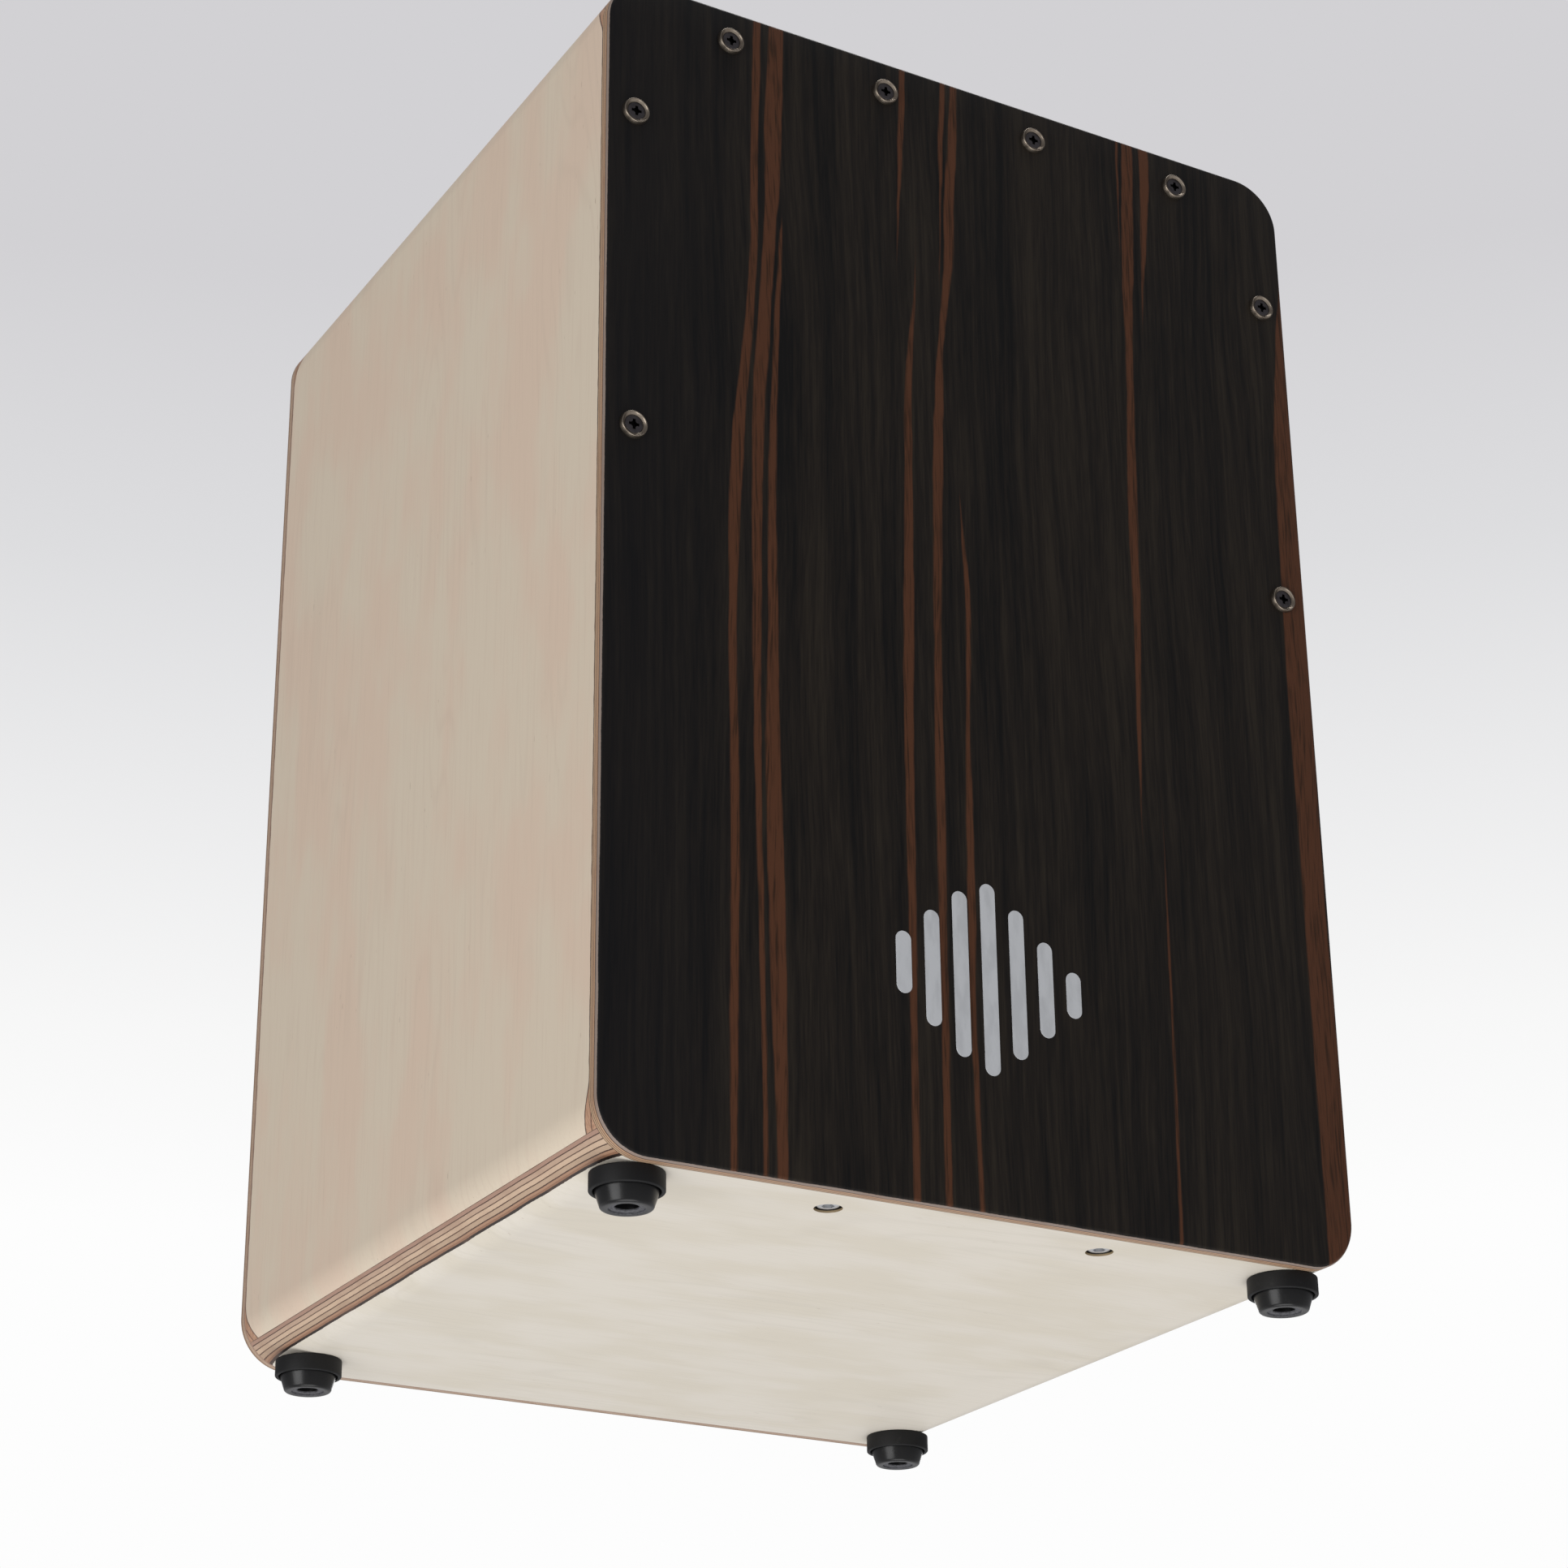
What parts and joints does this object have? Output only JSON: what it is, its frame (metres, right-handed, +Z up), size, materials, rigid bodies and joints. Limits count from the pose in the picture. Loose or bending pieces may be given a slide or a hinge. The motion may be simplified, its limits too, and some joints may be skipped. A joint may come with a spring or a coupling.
{
  "type": "cajon",
  "caption": "Plywood box drum with a screwed dark front plate, a round sound hole in the back, rubber feet and snare strings that are tensioned from below.",
  "frame": {"origin": "middle of the whole drum's footprint, on the floor that the feet stand on", "axes": "+Z up, -Y out of the front plate towards the listener, +X to the right as seen from the front"},
  "size_m": [0.3, 0.3025, 0.462],
  "materials": {
    "birch_plywood": "satin clear lacquer on pale birch plywood with vertical grain",
    "birch_plywood_bottom": "satin clear lacquer on cream birch plywood",
    "dark_veneer": "satin lacquered near-black veneer with orange-brown stripes",
    "printed_mark": "flat light grey print",
    "softwood_batten": "raw softwood",
    "black_nickel": "dark nickel plated steel",
    "black_plastic": "matte black moulded plastic",
    "black_rubber": "smooth black rubber",
    "string_steel": "plain steel string",
    "brass": "machined brass",
    "bracket_steel": "bent steel strip",
    "bright_zinc": "bright zinc plated steel"
  },
  "bodies": {
    "box": {"side_panel_left": "birch_plywood", "side_panel_right": "birch_plywood", "top_panel": "birch_plywood", "bottom_panel": "birch_plywood_bottom", "back_panel": "birch_plywood", "front_plate": "dark_veneer", "front_mark": "printed_mark", "front_batten_top": "softwood_batten", "front_batten_bottom": "softwood_batten", "front_batten_left": "softwood_batten", "front_batten_right": "softwood_batten", "rear_batten_top": "softwood_batten", "rear_batten_bottom": "softwood_batten", "rear_batten_left": "softwood_batten", "rear_batten_right": "softwood_batten", "front_plate_screws": "black_nickel", "front_plate_cup_washers": "black_nickel", "foot_cup_front_left": "black_plastic", "foot_cup_front_right": "black_plastic", "foot_cup_rear_left": "black_plastic", "foot_cup_rear_right": "black_plastic", "foot_rubber_front_left": "black_rubber", "foot_rubber_front_right": "black_rubber", "foot_rubber_rear_left": "black_rubber", "foot_rubber_rear_right": "black_rubber", "foot_screws": "bright_zinc", "foot_washers": "bright_zinc", "carriage_guide_left": "bracket_steel", "carriage_guide_right": "bracket_steel", "guide_screws": "bright_zinc", "string_anchor_left": "bracket_steel", "string_anchor_right": "bracket_steel", "anchor_screws": "bright_zinc"},
    "adjuster_left": {"adjuster_screw_left": "bright_zinc", "adjuster_collar_left": "bright_zinc"},
    "carriage_left": {"tension_carriage_left": "brass", "snare_strings_left": "string_steel"},
    "adjuster_right": {"adjuster_screw_right": "bright_zinc", "adjuster_collar_right": "bright_zinc"},
    "carriage_right": {"tension_carriage_right": "brass", "snare_strings_right": "string_steel"}
  },
  "joints": [
    {"name": "adjuster_left_turn", "type": "hinge", "parent": "box", "child": "adjuster_left", "pos_m": [-0.054, -0.12905, 0.016], "axis": [0, 0, 1], "range_deg": [-1080, 1080]},
    {"name": "carriage_left_slide", "type": "slide", "parent": "box", "child": "carriage_left", "axis": [0, 0, 1], "range_m": [-0.0024, 0.0024], "deforming": ["snare_strings_left"]},
    {"name": "adjuster_right_turn", "type": "hinge", "parent": "box", "child": "adjuster_right", "pos_m": [0.054, -0.12905, 0.016], "axis": [0, 0, 1], "range_deg": [-1080, 1080]},
    {"name": "carriage_right_slide", "type": "slide", "parent": "box", "child": "carriage_right", "axis": [0, 0, 1], "range_m": [-0.0024, 0.0024], "deforming": ["snare_strings_right"]}
  ],
  "couplings": [
    {"joint": "adjuster_left_turn", "follows": "carriage_left_slide", "rad_per_m": -7854},
    {"joint": "adjuster_right_turn", "follows": "carriage_right_slide", "rad_per_m": -7854}
  ]
}
